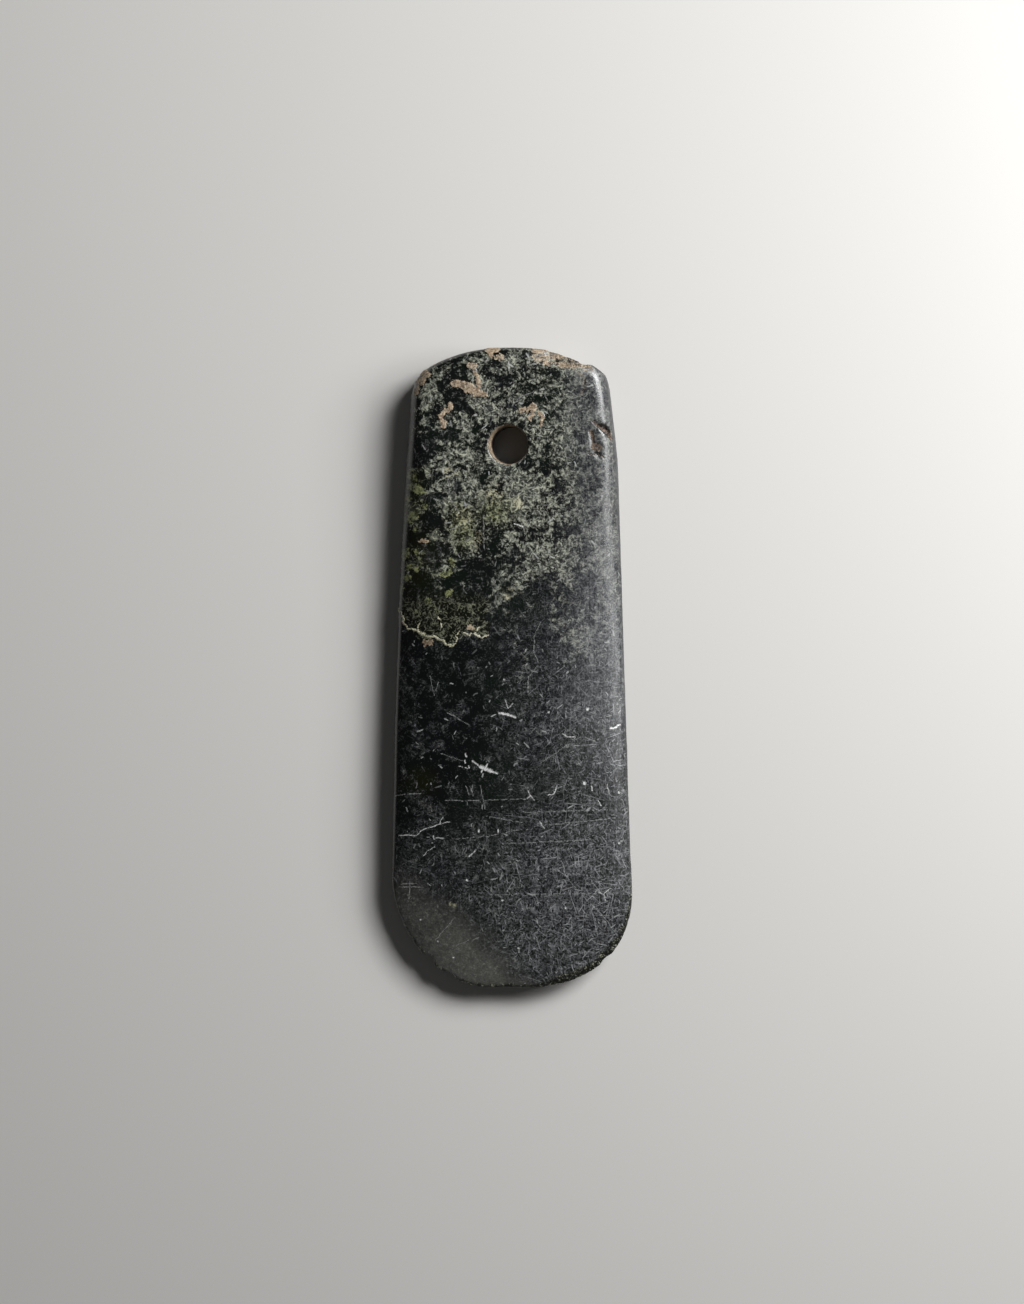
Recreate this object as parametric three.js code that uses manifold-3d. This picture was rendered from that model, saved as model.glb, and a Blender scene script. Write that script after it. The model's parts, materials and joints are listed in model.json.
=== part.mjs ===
// A perforated stone axe head, ground and polished from one piece of jadeite.
//
// Units are millimetres. The head lies on one broad face: +Y runs from the cutting edge to the
// butt, +X to the right of someone who looks down on it, and +Z up. The origin is under the
// middle of its box, on the surface that it lies on.
import * as THREE from "three";
import { ParametricGeometry } from "three/addons/geometries/ParametricGeometry.js";
import { mergeVertices } from "three/addons/utils/BufferGeometryUtils.js";
import Module from "manifold-3d";

const { degToRad, euclideanModulo, lerp, radToDeg, smoothstep } = THREE.MathUtils;

// Driving dimensions
const LENGTH = 170; // cutting edge to butt
const WIDTH = 64; // across the widest place, a little above the cutting edge
const THICKNESS = 12; // between the two flat faces

const HALF_LENGTH = LENGTH / 2;
const HALF_WIDTH = WIDTH / 2;
const MID_HEIGHT = THICKNESS / 2; // the height of the outline above the surface below

// How finely the skin is made
const OUTLINE_STEPS = 184; // round the outline
const RIM_STEPS = 8; // from the outline to the flat, on each face
const FACE_STACKS = RIM_STEPS + 1; // with the flat itself
const SCAR_DETAIL = 3; // how finely the ball that leaves a scar is divided
const BORE_SIDES = 48;

// The ground faces. Each one is flat in its middle and falls away to the outline.
// width: how far in from the outline the flat starts. half: half the thickness left at the
// outline. fall and round: the exponents of the curve between the two.
const BLADE_RIM = { width: 45, half: 0.35, fall: 1.7, round: 1.15 };
const BUTT_RIM = { width: 6.5, half: 3.2, fall: 2.4, round: 2 };
const SIDE_RIM = { width: 26, half: 0.5, fall: 2, round: 2 };
const SIDE_RIM_WIDTH_AT_BUTT = 5; // the sides are rounded more tightly towards the butt
const SIDE_NARROWS = { from: -22, to: 66 }; // Y between which they narrow
const BLADE_STARTS = { none: -28, full: -80 }; // Y where the sides turn into the cutting edge
const BUTT_STARTS = { none: 75, full: 82 }; // Y where the sides turn into the butt
const SPINE = { butt: 64, blade: -28 }; // the ends of the line that the outline shrinks towards

// The bore was drilled from both faces, and the two drillings meet in a waist. The upper one
// leans, so that its mouth lies a little to the left of the waist.
const BORE_Y = 59.1;
const BORE_WAIST = { x: -0.2, radius: 4.85 };
const BORE_MOUTH_RADIUS = 5.15;
const BORE_LEAN = { upper: -0.85, lower: 0.5 }; // how far each mouth lies beside the waist
const BORE_OVERSHOOT = 0.4; // how far each drilling runs past the waist

// Broken places
// The top right corner of the butt broke off along these points, from the right side to the arch.
const BUTT_BREAK = [
  [29.0, 72.6],
  [25.9, 76.6],
  [25.2, 77.5],
  [23.3, 78.9],
  [21.3, 80.3],
  [18.5, 80.6],
  [17.7, 81.2],
  [15.1, 82.4],
  [11.9, 83.5],
  [7.0, 85.1],
];
const THROUGH = 0; // an edge chip that takes both faces, where 1 is the upper and -1 the lower one
// Chips of use in the cutting edge. at: distance along the edge from its middle, to the right.
// long: along the edge. bite: how far in from the edge.
const EDGE_CHIPS = [
  { at: -31.5, long: 3.2, bite: 0.5, face: 1 },
  { at: -28.2, long: 2.6, bite: 0.6, face: 1 },
  { at: -24.4, long: 3.8, bite: 1.6, face: THROUGH },
  { at: -20.6, long: 2.8, bite: 0.6, face: -1 },
  { at: -17.2, long: 4.2, bite: 1.0, face: THROUGH },
  { at: -12.4, long: 3.0, bite: 0.6, face: 1 },
  { at: -8.2, long: 2.8, bite: 0.5, face: -1 },
  { at: -0.8, long: 7.6, bite: 1.2, face: 1 },
  { at: 5.4, long: 3.0, bite: 0.5, face: -1 },
  { at: 11.4, long: 4.8, bite: 0.9, face: 1 },
  { at: 15.8, long: 3.2, bite: 0.7, face: -1 },
  { at: 19.6, long: 3.8, bite: 0.7, face: 1 },
  { at: 23.4, long: 2.8, bite: 0.6, face: -1 },
  { at: 27.0, long: 4.6, bite: 0.5, face: THROUGH },
  { at: 30.6, long: 2.2, bite: 0.5, face: 1 },
];

// The outline, anticlockwise from the middle of the cutting edge.
function makeOutline() {
  const outline = new THREE.Shape();
  outline.moveTo(0, -HALF_LENGTH);
  // The cutting edge is nearly straight in its middle, and fuller on its right.
  outline.lineTo(5, -HALF_LENGTH);
  outline.bezierCurveTo(16, -HALF_LENGTH, HALF_WIDTH, -79, HALF_WIDTH, -60);
  // The right side is straight, and draws in a little by the butt.
  outline.lineTo(28.2, 55);
  outline.quadraticCurveTo(27.3, 63, 26.2, 73);
  outline.quadraticCurveTo(25.6, 79.8, 20, 82.2);
  // The butt is a low arch.
  outline.quadraticCurveTo(12.6, HALF_LENGTH, -1, HALF_LENGTH);
  outline.quadraticCurveTo(-12.8, HALF_LENGTH, -21.9, 80);
  outline.quadraticCurveTo(-26.2, 77.5, -27, 71);
  // The left side is slightly bowed.
  outline.quadraticCurveTo(-31.4, 12, -HALF_WIDTH, -56);
  outline.bezierCurveTo(-31.5, -69.5, -20.5, -HALF_LENGTH, -6, -HALF_LENGTH);
  outline.closePath();
  return outline;
}

// The rim of the head at one height of the outline: a blend of blade, side and butt.
function rimAt(y) {
  const blade = smoothstep(-y, -BLADE_STARTS.none, -BLADE_STARTS.full);
  const butt = smoothstep(y, BUTT_STARTS.none, BUTT_STARTS.full);
  const narrowing = smoothstep(y, SIDE_NARROWS.from, SIDE_NARROWS.to);
  const side = { ...SIDE_RIM, width: lerp(SIDE_RIM.width, SIDE_RIM_WIDTH_AT_BUTT, narrowing) };
  const rim = {};
  for (const key of Object.keys(side)) {
    rim[key] = lerp(lerp(side[key], BLADE_RIM[key], blade), BUTT_RIM[key], butt);
  }
  return rim;
}

// The height on the middle line that a point of the outline at height y shrinks towards.
function spineHeight(y) {
  const share = y / HALF_LENGTH;
  return y > 0 ? SPINE.butt * share : SPINE.blade * (1 - (1 + share) ** 2);
}

// A point of either face, some steps in from a point of the outline: Z is its height above or
// depth below the middle of the stone.
function facePoint(onOutline, step, target) {
  const rim = rimAt(onOutline.y);
  const reach = Math.cos((step / RIM_STEPS) * (Math.PI / 2)); // 1 on the outline, 0 at the flat
  const spineY = spineHeight(onOutline.y);
  const way = Math.hypot(onOutline.x, onOutline.y - spineY);
  const inwards = (rim.width * (1 - reach)) / way;
  const swell = (1 - reach ** rim.fall) ** (1 / rim.round);
  target.set(
    lerp(onOutline.x, 0, inwards),
    lerp(onOutline.y, spineY, inwards),
    lerp(rim.half, MID_HEIGHT, swell),
  );
}

// The closed skin: u goes round the outline, v from the middle of the underside over the
// outline to the middle of the upper face.
function makeSkin(outline) {
  const stacks = 2 * FACE_STACKS + 1;
  const around = Array.from({ length: OUTLINE_STEPS }, (_, i) => outline.getPointAt(i / OUTLINE_STEPS));
  const skin = (u, v, target) => {
    const row = Math.round(v * stacks);
    const below = row <= FACE_STACKS;
    const step = below ? FACE_STACKS - row : row - FACE_STACKS - 1;
    if (step > RIM_STEPS) {
      target.set(0, 0, MID_HEIGHT);
    } else {
      facePoint(around[Math.round(u * OUTLINE_STEPS) % OUTLINE_STEPS], step, target);
    }
    target.z = below ? MID_HEIGHT - target.z : MID_HEIGHT + target.z;
  };
  return new ParametricGeometry(skin, OUTLINE_STEPS, stacks);
}

// One of the two drillings, as the solid that it removes.
function makeDrilling(upper) {
  const depth = MID_HEIGHT + BORE_OVERSHOOT;
  const clear = 2; // the cutter stands this far out of the stone
  const taper = (BORE_MOUTH_RADIUS - BORE_WAIST.radius) / MID_HEIGHT;
  const mouthRadius = BORE_MOUTH_RADIUS + taper * clear;
  const tipRadius = BORE_WAIST.radius - taper * BORE_OVERSHOOT;
  const length = depth + clear;
  const cutter = new THREE.CylinderGeometry(mouthRadius, tipRadius, length, BORE_SIDES);
  cutter.translate(0, length / 2 - BORE_OVERSHOOT, 0);
  cutter.rotateX(upper ? Math.PI / 2 : -Math.PI / 2);
  const lean = upper ? BORE_LEAN.upper : BORE_LEAN.lower;
  const shear = new THREE.Matrix4().makeShear(0, 0, 0, 0, (upper ? lean : -lean) / MID_HEIGHT, 0);
  cutter.applyMatrix4(shear);
  cutter.translate(BORE_WAIST.x, BORE_Y, MID_HEIGHT);
  return cutter;
}

// A ball, stretched, turned and placed, that takes a flake scar, a pit or a crack out of the stone.
// size: half lengths along, across and down. turn: degrees about Z. tilt: degrees about its length.
function makeScoop({ at, size, turn = 0, tilt = 0 }) {
  const ball = new THREE.IcosahedronGeometry(1, SCAR_DETAIL);
  ball.scale(...size);
  ball.rotateX(degToRad(tilt));
  ball.rotateZ(degToRad(turn));
  ball.translate(...at);
  return ball;
}

// The chips of use along the cutting edge.
function makeEdgeChips(outline) {
  const around = outline.getLength();
  return EDGE_CHIPS.map(({ at, long, bite, face }) => {
    const share = euclideanModulo(at / around, 1);
    const point = outline.getPointAt(share);
    const along = outline.getTangentAt(share);
    const through = face === THROUGH;
    const out = through ? 0.6 * bite : 0.4 * bite; // the ball's middle lies outside the edge
    return makeScoop({
      at: [point.x + along.y * out, point.y - along.x * out, MID_HEIGHT + 1.3 * face],
      size: [long / 2, through ? 1.6 * bite : 2 * bite, through ? 3 : 1.25],
      turn: radToDeg(Math.atan2(along.y, along.x)),
      tilt: 12 * face,
    });
  });
}

// The corner that broke off the butt, as a block that is cut away.
function makeButtBreak() {
  const corner = new THREE.Shape();
  corner.moveTo(HALF_WIDTH, HALF_LENGTH + 5);
  corner.lineTo(HALF_WIDTH, BUTT_BREAK[0][1]);
  for (const point of BUTT_BREAK) corner.lineTo(...point);
  corner.lineTo(BUTT_BREAK.at(-1)[0], HALF_LENGTH + 5);
  corner.closePath();
  const block = new THREE.ExtrudeGeometry(corner, { depth: THICKNESS + 2, bevelEnabled: false });
  block.translate(0, 0, -1);
  return block;
}

// The larger breaks and scars.
function makeBreaks() {
  const top = THICKNESS;
  return [
    makeButtBreak(),
    // flakes off the upper face along the butt: two beside the break, and one in its middle
    makeScoop({ at: [12.4, 86.5, top + 2.0], size: [8.2, 8.0, 5.4], turn: -6 }),
    makeScoop({ at: [17.4, 84.0, top + 1.2], size: [3.4, 4.6, 3.4], turn: -20 }),
    makeScoop({ at: [-4.4, 87.2, top + 0.6], size: [4.2, 3.8, 2.8] }),
    // a worn place on the left corner of the butt
    makeScoop({ at: [-26.4, 76.6, top - 0.6], size: [5.2, 2.1, 2.0], turn: 62, tilt: 26 }),
    // the crack that runs in from the right side and widens, and the pits below it
    makeScoop({ at: [23.4, 64.0, top - 0.6], size: [3.0, 0.55, 1.2], turn: -30 }),
    makeScoop({ at: [25.0, 62.8, top - 1.2], size: [1.8, 0.95, 1.2], turn: -56 }),
    makeScoop({ at: [21.1, 60.8, top + 0.2], size: [2.8, 0.65, 0.8], turn: -84 }),
    makeScoop({ at: [22.9, 58.6, top - 0.2], size: [1.5, 0.5, 0.9], turn: -56 }),
    makeScoop({ at: [22.4, 56.5, top], size: [1.9, 0.6, 0.8], turn: -42 }),
    // flakes off the underside of the butt and the lower right side
    makeScoop({ at: [-6, 88.0, -1.6], size: [8, 7.0, 4.4], turn: 4 }),
    makeScoop({ at: [31.6, -44, 2.2], size: [4.2, 1.1, 1.8], turn: 89 }),
  ];
}

// A geometry as a manifold solid: its shared vertices merged, its collapsed faces dropped.
function toSolid(wasm, geometry) {
  const bare = new THREE.BufferGeometry();
  bare.setAttribute("position", geometry.getAttribute("position"));
  if (geometry.index) bare.setIndex(geometry.index);
  const merged = mergeVertices(bare, 1e-4);
  const corners = merged.index.array;
  const kept = [];
  for (let i = 0; i < corners.length; i += 3) {
    const [a, b, c] = corners.slice(i, i + 3);
    if (a !== b && b !== c && c !== a) kept.push(a, b, c);
  }
  const vertProperties = new Float32Array(merged.getAttribute("position").array);
  const triVerts = new Uint32Array(kept);
  return new wasm.Manifold(new wasm.Mesh({ numProp: 3, vertProperties, triVerts }));
}

// A manifold solid as a geometry, moved so that its box stands on the origin.
function toGeometry(solid) {
  const mesh = solid.getMesh();
  const geometry = new THREE.BufferGeometry();
  geometry.setAttribute("position", new THREE.BufferAttribute(new Float32Array(mesh.vertProperties), 3));
  geometry.setIndex(new THREE.BufferAttribute(new Uint32Array(mesh.triVerts), 1));
  geometry.computeBoundingBox();
  const { min, max } = geometry.boundingBox;
  geometry.translate(-(min.x + max.x) / 2, -(min.y + max.y) / 2, -min.z);
  geometry.computeVertexNormals();
  return geometry;
}

const wasm = await Module();
wasm.setup();

const outline = makeOutline();
const cuts = [
  makeDrilling(true),
  makeDrilling(false),
  ...makeEdgeChips(outline),
  ...makeBreaks(),
];
const stone = cuts.reduce(
  (left, cut) => left.subtract(toSolid(wasm, cut)),
  toSolid(wasm, makeSkin(outline)),
);

const jadeite = new THREE.MeshStandardMaterial({ color: 0x2a2f2a, roughness: 0.35, metalness: 0 });
const head = new THREE.Mesh(toGeometry(stone), jadeite);
head.name = "axe_head";

const axe = new THREE.Group();
axe.add(head);

export default axe;
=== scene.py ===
"""A perforated axe head of polished jadeite, lying on a pale floor under soft studio light.

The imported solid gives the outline, the ground faces, the bore and the larger breaks. Here a copy
of it is refined, crusted, chipped and scratched, and gets its stone finish. Blender works in
metres; sizes on the stone are in millimetres, and places on it in millimetres from the middle of
the head, with +X to the right, +Y towards the butt and +Z up from the floor.
"""

import json
import math
from types import SimpleNamespace

import bpy
import numpy as np
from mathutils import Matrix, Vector, noise


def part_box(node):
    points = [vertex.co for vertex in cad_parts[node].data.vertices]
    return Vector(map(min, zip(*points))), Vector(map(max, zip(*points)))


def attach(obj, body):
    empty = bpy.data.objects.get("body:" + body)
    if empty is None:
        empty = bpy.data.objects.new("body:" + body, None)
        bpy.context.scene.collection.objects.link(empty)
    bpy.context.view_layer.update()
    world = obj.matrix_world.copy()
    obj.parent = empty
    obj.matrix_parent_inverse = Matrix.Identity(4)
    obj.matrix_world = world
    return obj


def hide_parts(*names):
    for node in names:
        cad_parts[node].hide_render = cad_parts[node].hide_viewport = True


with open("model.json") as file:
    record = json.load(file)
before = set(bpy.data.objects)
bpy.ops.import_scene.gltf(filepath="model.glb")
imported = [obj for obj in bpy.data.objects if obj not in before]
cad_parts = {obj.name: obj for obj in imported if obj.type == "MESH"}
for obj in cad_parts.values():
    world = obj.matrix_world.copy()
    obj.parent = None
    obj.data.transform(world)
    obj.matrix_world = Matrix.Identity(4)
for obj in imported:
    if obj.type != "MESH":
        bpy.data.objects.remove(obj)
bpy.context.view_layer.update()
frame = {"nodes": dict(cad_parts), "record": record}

NOISE_SEED = 7
noise.seed_set(NOISE_SEED)  # so that every run gives the same stone

MM = 0.001
LOW, HIGH = (np.array(corner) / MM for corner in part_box("axe_head"))
MIDDLE = (LOW + HIGH) / 2
LENGTH = HIGH[1] - LOW[1]

# The bore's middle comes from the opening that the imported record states.
BORE_BOX = np.array(frame["record"]["physics"]["openings"][0]["box_m"]) / MM
BORE = BORE_BOX.mean(axis=0)[:2]
BORE_RADIUS = 5.6  # of a ring that takes in the bore's mouth and its rim

# How the mesh is refined
MERGE = 0.002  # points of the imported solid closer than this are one
GRAIN = 0.52  # spacing of the refined mesh's points
SMOOTHING = 24  # rounds of smoothing on its flanks
MARK_CUTS = 2  # how often an edge near a mark is divided
MARK_MARGIN = 0.8 * GRAIN  # how far beside a mark the mesh is still divided
DOT = 0.01  # length of the line that stands for a spot
UNDERSIDE = {"top": 1.5, "half_length": 78}  # the plain part of the underside
UNDERSIDE_SHARE = 0.1  # of its faces that are kept

# How far each kind of relief stands out of the surface, or lies in it where it is below 0
GRINDING_RELIEF = -0.10
CRUST_RELIEF = 0.26
SKIN_RELIEF = 0.10
SKIN_RIM_RELIEF = 0.14
SCAR_RELIEF = -0.30
PIT_RELIEF = -0.35
MARK_RELIEF = -0.10
CUTTING_EDGE_RELIEF = -0.3
SCRATCH_STRENGTH = 0.4  # of a fine scratch, where a gouge has 1

# Where things begin and where they are in full. Towards the cutting edge:
EDGE_SPARED = (45, 60)  # what the smoothing leaves
EDGE_CHIPPED = (58, 70)
EDGE_CHIPS_PAINTED = (50, 66)
CALM_BEGINS = (48, 66)  # the part on the left that is polished smooth
CALM_LIGHTENS = (60, 78)
SKIN_FADES = (-21, -15)
HAZE_AND_SHEEN_RISES = (-45, -5)
HAZE_FULL = (24, 58)
# towards the butt:
BUTT_SPARED = (82, 84)
BUTT_DIRTY = (76, 82)
WEATHERING = (-6, 36)
WEATHERING_THINS = (50, 64)
POLISH_AND_SHEEN_RISES = (-35, 5)
# towards the right:
CALM_LIGHTENS_ACROSS = (-31, -12)
POLISH_AND_SHEEN_SPREADS = (10, 21)
HAZE_AND_SHEEN_SPREADS = (-14, 28)
HAZE_THICKENS = (-14, 14)
CHIPS_WIDEN = (4, 14)
# away from the middle of the thickness:
SPARED_EDGE_DEPTH = (0.8, 2.2)
CHIPPED_EDGE_DEPTH = (0.4, 1.3)
DIRTY_RIM_DEPTH = (2.5, 4.5)
# above the surface that the head lies on:
GRINDING_SHOWS = (0.3, 2.5)
# and as the surface turns from a wall to level ground:
STROKES_SHOW = (0.35, 0.75)
WALL_ENDS = (0.35, 0.8)

# Patches on the upper face: middle x and y, half sizes, and turn in degrees.
CRUST = [
    # left corner of the butt
    (-23.0, 77.9, 1.6, 1.1, -30),
    (-24.2, 76.0, 1.5, 1.5, 0),
    (-25.3, 73.3, 0.9, 1.5, -10),
    # the large patch
    (-14.9, 75.3, 1.5, 1.2, 0),
    (-11.9, 74.2, 2.9, 1.5, -22),
    (-9.3, 72.9, 2.3, 1.2, -20),
    (-10.6, 80.0, 1.5, 1.1, 20),
    # top of the butt
    (-5.3, 84.2, 2.3, 1.3, 5),
    (-3.2, 82.6, 1.1, 1.4, 0),
    (-5.8, 82.5, 1.0, 0.7, 0),
    # orange specks on the left
    (-23.3, 33.8, 1.6, 0.6, -12),
]
# Crust that lies in bent lines: width, then the points that each one runs through.
CRUST_LINES = [
    (1.7, [(-8.7, 74.4), (-9.2, 77.2), (-10.2, 79.6)]),
    (1.5, [(-9.0, 73.0), (-6.7, 72.1)]),
    (1.8, [(-16.4, 69.8), (-16.1, 68.6), (-18.0, 67.7), (-19.0, 66.4), (-18.1, 65.1), (-18.2, 63.8)]),
    (1.4, [(2.2, 67.9), (3.5, 68.7), (4.1, 67.9), (5.4, 69.8), (5.9, 69.0), (4.8, 65.9)]),
    (1.2, [(7.1, 67.7), (8.2, 66.6), (7.6, 64.6)]),
]
# The broken end of the butt, on the right, stained all over.
SCAR = [
    (8.6, 82.6, 4.2, 2.6, -14),
    (13.6, 81.0, 4.4, 2.1, -16),
    (18.2, 80.2, 3.4, 1.1, -18),
]
LIGHT_STAINS = [
    (-6.3, 46.3, 1.3, 1.0, 0),
    (1.9, 43.5, 0.9, 1.7, 0),
    (-1.3, 19.1, 1.4, 0.7, 0),
    (-15.7, -62.7, 1.3, 0.6, -45),
]
BLACK_PATCHES = [
    (-2.8, 75.9, 3.6, 3.2, 0),
    (-13.4, 69.9, 5.2, 2.2, -25),
    (-0.3, 69.9, 3.4, 1.4, 0),
    (-21.9, 59.8, 7.4, 4.8, 10),
    (-16.4, 62.2, 2.8, 2.4, 0),
    (-23.6, 55.6, 4.0, 2.4, 0),
    (-21.6, 45.2, 6.8, 2.4, 8),
    (-14.7, 46.9, 2.7, 1.7, 30),
    (-20.7, 39.4, 3.6, 3.2, 0),
    (-20.0, 30.6, 5.8, 3.6, 10),
    (-24.6, 22.4, 5.4, 2.8, 0),
    (-7.8, 24.0, 5.0, 3.4, 0),
    (0.5, 29.4, 3.6, 1.5, -10),
    (-15.5, 19.0, 6.4, 1.8, 0),
    (16.5, 36.4, 3.4, 3.2, 0),
    (20.8, 23.4, 3.0, 3.8, 0),
]
PALE_PATCHES = [
    (-13.2, 57.4, 6.4, 5.0, -20),
    (1.4, 47.8, 15.0, 7.2, 0),
    (-0.5, 42.0, 6.5, 3.0, 0),
    (-13.5, 38.5, 4.6, 6.5, 0),
    (10.0, 31.5, 7.5, 5.0, -15),
    (12.0, 58.0, 7.0, 8.0, 0),
    (-22.5, 70.5, 4.2, 6.0, 25),
]
OLIVE_PATCHES = [
    (-27.0, 46.0, 7.0, 12.0, 0),
    (-25.0, 28.0, 10.0, 14.0, 0),
    (-13.5, 37.5, 6.0, 9.4, 0),
    (-4.0, 42.0, 9.0, 6.0, 0),
    (-18.0, 14.0, 13.0, 8.0, 0),
    (-24.0, -30.0, 7.0, 6.0, 0),
]
# Small yellow-green islets, and larger places with yellowish flecks.
GREEN_PATCHES = [
    (-26.3, 50.7, 1.9, 2.2, 0),
    (-24.8, 47.2, 2.4, 1.6, -20),
    (-27.6, 45.0, 1.6, 1.1, 30),
    (-26.1, 40.4, 1.7, 1.3, 0),
    (-27.3, 39.0, 0.9, 0.9, 0),
    (-25.7, 36.8, 1.0, 1.1, 0),
    (-23.0, 42.5, 0.9, 1.1, 0),
    (-25.3, 31.1, 1.1, 0.8, 0),
    (-23.7, 30.8, 0.8, 0.8, 0),
    (-28.4, 30.2, 1.3, 2.6, 0),
    (-27.1, 26.9, 1.3, 1.2, 0),
    (-25.5, 25.6, 0.9, 0.9, 0),
    (-27.6, 23.9, 1.4, 1.0, 0),
    (-29.2, 20.6, 0.9, 2.0, 0),
    (-15.9, 28.0, 1.3, 1.5, 0),
    (-17.2, 25.1, 2.3, 1.1, 8),
    (-16.9, 19.9, 1.2, 1.1, 0),
    (-22.1, 17.9, 1.6, 1.1, 0),
    (-19.3, 15.2, 1.4, 0.9, 0),
    (-25.3, 15.0, 1.2, 1.2, 0),
]
YELLOW_PATCHES = [
    (-15.6, 51.0, 3.4, 2.2, 0),
    (-13.2, 39.6, 3.6, 4.4, 0),
    (-4.5, 46.0, 5.6, 3.4, 0),
    (-9.4, 34.0, 2.4, 3.0, 0),
    (2.2, 44.2, 2.6, 3.4, 0),
    (0.0, 20.0, 3.4, 1.6, 0),
]
# The weathered skin that ends in a scalloped, crusted line on the left.
SKIN_LOBES = [
    (-27.4, 17.2, 5.4, 5.4, 0),
    (-23.4, 11.6, 3.5, 3.9, 0),
    (-21.2, 10.2, 2.6, 3.7, 0),
    (-16.4, 10.4, 3.7, 4.1, 0),
    (-12.0, 13.2, 3.4, 3.6, 0),
    (-8.4, 11.2, 2.6, 2.7, 0),
    (-17.0, 17.0, 12.0, 5.6, 0),
]
# The light line that the skin's edge makes, with its side branches.
SKIN_RIM = [
    (0.7, [(-30.1, 15.5), (-29.2, 14.3), (-28.6, 13.2), (-28.7, 12.1), (-27.9, 10.8), (-26.4, 10.1)]),
    (0.8, [(-26.4, 10.1), (-24.9, 10.0), (-23.9, 9.0), (-22.4, 8.4), (-20.8, 8.4)]),
    (0.6, [(-24.6, 11.9), (-24.9, 10.8), (-24.8, 10.1)]),
    (0.8, [(-20.8, 8.4), (-19.7, 7.7), (-18.2, 7.5), (-17.5, 6.4), (-16.0, 5.9), (-14.9, 6.4)]),
    (0.5, [(-14.9, 6.4), (-14.3, 7.7), (-14.9, 8.8), (-13.8, 9.6)]),
    (0.5, [(-12.7, 9.3), (-11.5, 8.9), (-10.2, 9.5), (-9.1, 8.6), (-8.0, 8.2), (-6.9, 8.7)]),
    (0.5, [(-9.4, 9.7), (-8.7, 11.0)]),
    (0.35, [(-19.6, 13.6), (-18.8, 12.2), (-18.5, 10.8)]),
]
SKIN_STAINS = [
    (-22.4, 6.9, 1.8, 1.3, 0),
    (-10.7, 10.6, 0.9, 0.7, 0),
]
# The slanting line beyond which, towards the lower left, the stone is polished smooth: its end at
# the cutting edge, the direction across it, and how far on either side of it the polish fades.
CALM_END = (2.0, -80.5)
CALM_ACROSS = (0.72, 0.70)
CALM_FADES = (-4, 6)
# Bright gouges: width, then the points that each one runs through.
GOUGES = [
    (0.75, [(-3.3, -11.8), (-1.2, -12.2), (0.9, -12.9)]),
    (0.30, [(-1.8, -8.3), (-1.0, -10.6), (0.2, -9.2)]),
    # the star, and the cluster beside it
    (1.30, [(-8.2, -26.0), (-6.8, -26.6), (-5.5, -27.1)]),
    (0.50, [(-10.4, -24.6), (-8.2, -26.0)]),
    (0.65, [(-5.5, -27.1), (-3.7, -27.8)]),
    (0.45, [(-7.0, -26.4), (-6.5, -25.2)]),
    (0.40, [(-7.6, -26.4), (-8.0, -27.5)]),
    (0.45, [(-12.3, -22.6), (-11.9, -23.4)]),
    (0.40, [(-12.6, -24.3), (-12.3, -25.0)]),
    (0.40, [(-11.6, -25.8), (-11.3, -26.4)]),
    (0.22, [(-14.1, -25.9), (-11.7, -26.4)]),
    # the right edge
    (0.60, [(26.2, -15.8), (27.3, -15.6), (28.6, -14.9)]),
    (0.28, [(13.4, -17.2), (14.5, -18.1), (16.8, -18.0)]),
    (0.34, [(4.3, -32.4), (4.9, -33.6), (4.0, -34.4)]),
    (0.30, [(4.9, -33.6), (5.9, -34.8)]),
    (0.28, [(11.9, -31.0), (11.1, -33.2), (9.7, -33.5)]),
    (0.30, [(21.0, -31.0), (21.4, -32.4)]),
    (0.26, [(25.2, -30.6), (25.7, -33.2)]),
    (0.30, [(22.8, -35.0), (23.7, -36.3)]),
    (0.36, [(7.3, -40.5), (8.6, -42.3)]),
    # the bent line on the left
    (0.34, [(-29.9, -44.3), (-27.5, -44.2), (-25.5, -44.3)]),
    (0.28, [(-25.5, -44.3), (-23.3, -42.5), (-16.6, -40.5)]),
    (0.22, [(-19.2, -41.3), (-18.3, -39.3)]),
    (0.42, [(-20.7, -44.4), (-20.5, -45.2)]),
    (0.40, [(-11.3, -49.8), (-9.5, -48.1)]),
    (0.22, [(-23.5, -49.8), (-22.2, -48.2), (-20.4, -47.2)]),
    (0.26, [(26.0, -58.3), (24.3, -59.9), (23.0, -59.2)]),
    (0.24, [(24.3, -59.9), (24.8, -61.4)]),
    (0.40, [(0.6, 38.2), (1.9, 37.9), (3.0, 37.3)]),
]
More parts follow.
